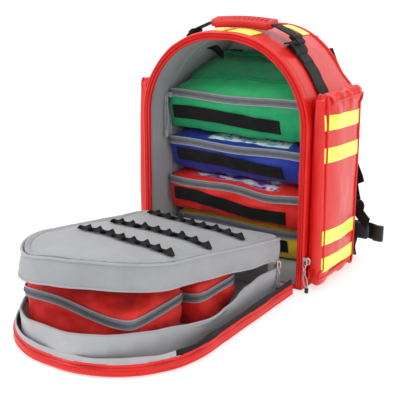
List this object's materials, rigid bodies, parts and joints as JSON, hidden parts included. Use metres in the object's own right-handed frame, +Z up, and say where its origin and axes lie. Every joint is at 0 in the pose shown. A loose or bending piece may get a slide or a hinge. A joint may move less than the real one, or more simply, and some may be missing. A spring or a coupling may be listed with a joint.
{
  "type": "trauma backpack",
  "caption": "Arched medical backpack lying open, with side pockets, colour-coded pouch modules on slides, and a hinged front panel carrying a covered tray.",
  "frame": {"origin": "centre of the underside of the base, on the floor", "axes": "+X to the right of someone facing the opening, +Y into the bag towards the wearer, +Z up"},
  "size_m": [0.432, 0.687, 0.441],
  "materials": {
    "red_tarpaulin": "glossy coated PVC tarpaulin",
    "red_base": "heavier coated PVC",
    "black_mesh": "padded spacer mesh",
    "gray_lining": "matt coated nylon lining",
    "gray_light": "light gray binding tape",
    "gray_coil": "gray coil zip on tape",
    "red_coil": "red coil zip on tape",
    "black_webbing": "ribbed nylon webbing",
    "black_elastic": "woven elastic",
    "reflective": "fluorescent reflective tape",
    "yellow_nylon": "nylon",
    "red_nylon": "matt nylon",
    "blue_nylon": "matt nylon",
    "green_nylon": "matt nylon",
    "clear_pvc": "clear flexible PVC film",
    "card": "printed card with blank fields",
    "moulded_red": "soft-touch moulded plastic",
    "zinc": "plated zinc",
    "gray_cord": "braided cord with a moulded end",
    "black_pad": "padded mesh and nylon"
  },
  "bodies": {
    "pack": {"shell_band": "red_tarpaulin", "base_panel": "red_base", "back_panel": "black_mesh", "inner_lining": "gray_lining", "front_rim": "red_tarpaulin", "body_zip": "red_coil", "hinge_strip": "red_tarpaulin", "pocket_left": "red_tarpaulin", "pocket_right": "red_tarpaulin", "pocket_zips": "red_coil", "pocket_reflectors": "reflective", "top_reflectors": "reflective", "top_webbing": "black_webbing", "back_padding": "black_mesh", "inner_straps": "black_webbing", "strap_tabs": "red_tarpaulin", "module_yellow": "yellow_nylon", "yellow_trim": "gray_coil"},
    "red_module": {"module_red": "red_nylon", "red_zip": "gray_coil", "red_strap": "black_webbing", "red_label": "card"},
    "blue_module": {"module_blue": "blue_nylon", "blue_zip": "gray_coil", "blue_strap": "black_webbing", "blue_label": "card"},
    "green_module": {"module_green": "green_nylon", "green_window": "clear_pvc", "green_zip": "gray_coil", "green_strap": "black_webbing"},
    "green_zip_pull": {"green_pull": "gray_cord"},
    "handle": {"handle_grip": "moulded_red", "handle_webbing": "black_webbing"},
    "lid": {"lid_panel": "red_tarpaulin", "lid_rim": "red_tarpaulin", "lid_zip": "black_webbing", "tray_wall": "gray_lining", "pouch_large": "red_nylon", "pouch_small": "red_nylon", "pouch_zips": "gray_coil"},
    "cover_base": {"cover_tape": "gray_light", "cover_band": "gray_lining"},
    "cover": {"cover_panel": "gray_lining", "cover_skirt": "gray_lining", "cover_piping": "gray_light", "loops_front": "black_elastic", "loops_middle": "black_elastic", "loops_back": "black_elastic"},
    "cover_zip_pull": {"cover_pull": "gray_cord"},
    "right_slider": {"slider_right": "zinc"},
    "right_pull": {"pull_right": "gray_cord"},
    "left_slider": {"slider_left": "zinc"},
    "left_pull": {"pull_left": "gray_cord"},
    "left_strap": {"shoulder_left": "black_pad", "webbing_left": "black_webbing"},
    "right_strap": {"shoulder_right": "black_pad", "webbing_right": "black_webbing"},
    "left_hip": {"hip_left": "black_pad"},
    "right_hip": {"hip_right": "black_pad"}
  },
  "joints": [
    {"name": "lid_hinge", "type": "hinge", "parent": "pack", "child": "lid", "pos_m": [0, -0.1225, 0.0055], "axis": [-1, 0, 0], "range_deg": [0, 90]},
    {"name": "cover_follow", "type": "hinge", "parent": "lid", "child": "cover_base", "pos_m": [0, -0.1285, 0.087], "axis": [1, 0, 0], "range_deg": [0, 9]},
    {"name": "cover_hinge", "type": "hinge", "parent": "cover_base", "child": "cover", "pos_m": [0, -0.16704, 0.09614], "axis": [1, 0, 0], "range_deg": [-80, 0]},
    {"name": "red_slide", "type": "slide", "parent": "pack", "child": "red_module", "axis": [0, 1, 0], "range_m": [-0.08, 0]},
    {"name": "blue_slide", "type": "slide", "parent": "pack", "child": "blue_module", "axis": [0, 1, 0], "range_m": [-0.12, 0]},
    {"name": "green_slide", "type": "slide", "parent": "pack", "child": "green_module", "axis": [0, 1, 0], "range_m": [-0.12, 0]},
    {"name": "green_pull_swing", "type": "hinge", "parent": "green_module", "child": "green_zip_pull", "pos_m": [-0.144, -0.035, 0.29], "axis": [1, 0, 0], "range_deg": [-40, 0]},
    {"name": "handle_tilt", "type": "hinge", "parent": "pack", "child": "handle", "pos_m": [0, -0.025, 0.40124], "axis": [1, 0, 0], "range_deg": [-24, 24]},
    {"name": "cover_pull_swing", "type": "hinge", "parent": "lid", "child": "cover_zip_pull", "pos_m": [0.1325, -0.1365, 0.047], "axis": [1, 0, 0], "range_deg": [-20, 8]},
    {"name": "right_slider_run", "type": "slide", "parent": "pack", "child": "right_slider", "axis": [0, 0, 1], "range_m": [0, 0.2]},
    {"name": "right_pull_swing", "type": "hinge", "parent": "right_slider", "child": "right_pull", "pos_m": [0.165, -0.1015, 0.045], "axis": [0, 1, 0], "range_deg": [-60, 0]},
    {"name": "left_slider_run", "type": "slide", "parent": "pack", "child": "left_slider", "axis": [0, 0, 1], "range_m": [0, 0.2]},
    {"name": "left_pull_swing", "type": "hinge", "parent": "left_slider", "child": "left_pull", "pos_m": [-0.165, -0.1015, 0.045], "axis": [0, -1, 0], "range_deg": [-60, 0]},
    {"name": "right_strap_swing", "type": "hinge", "parent": "pack", "child": "right_strap", "pos_m": [0.06, 0.114, 0.38], "axis": [-0.3213, 0, 0.947], "range_deg": [-12, 12]},
    {"name": "left_strap_swing", "type": "hinge", "parent": "pack", "child": "left_strap", "pos_m": [-0.06, 0.114, 0.38], "axis": [-0.3213, 0, -0.947], "range_deg": [-12, 12]},
    {"name": "right_hip_wrap", "type": "hinge", "parent": "pack", "child": "right_hip", "pos_m": [0.112, 0.112, 0.05], "axis": [0, 0, 1], "range_deg": [0, 70]},
    {"name": "left_hip_wrap", "type": "hinge", "parent": "pack", "child": "left_hip", "pos_m": [-0.112, 0.112, 0.05], "axis": [0, 0, -1], "range_deg": [0, 70]}
  ],
  "couplings": [
    {"joint": "cover_follow", "follows": "lid_hinge", "ratio": 0.1}
  ]
}
